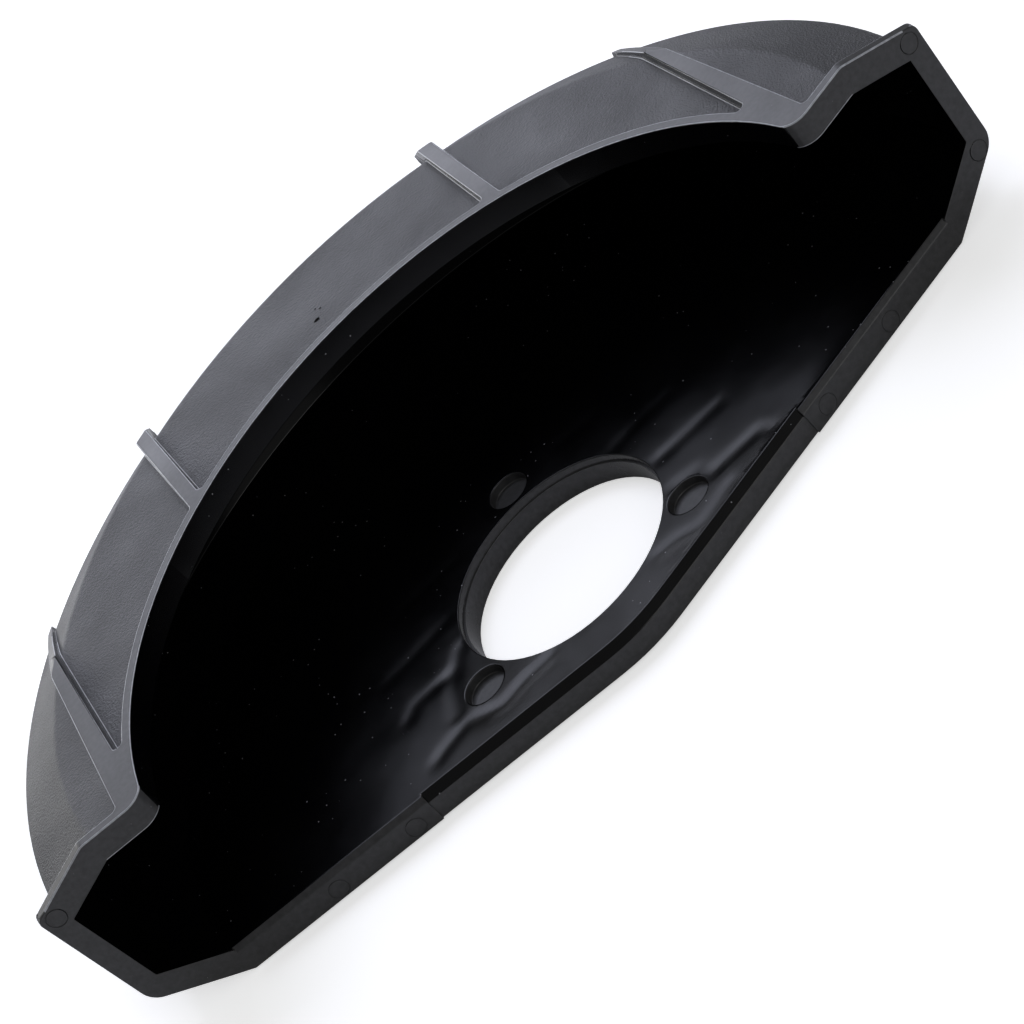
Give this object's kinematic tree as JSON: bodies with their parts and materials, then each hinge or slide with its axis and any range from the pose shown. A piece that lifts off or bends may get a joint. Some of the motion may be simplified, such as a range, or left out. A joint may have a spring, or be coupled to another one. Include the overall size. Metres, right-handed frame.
{
  "type": "edger blade guard",
  "caption": "Half-disc plastic blade guard: dished plate with a collared hub hole, wrap-round skirt, folded-over band with an arched mouth, rimmed edges and stiffening ribs outside.",
  "frame": {"origin": "on the bore axis, in the end face of the collar behind the plate", "axes": "+Z along the blade's axis from the collar into the hollow, +Y from the straight edge to the top of the arc, X along the straight edge"},
  "size_m": [0.2426, 0.1472, 0.0482],
  "materials": {
    "blade_guard": "fine leather grain outside, glossy inside"
  },
  "bodies": {
    "root": {"blade_guard": "blade_guard"}
  },
  "joints": []
}
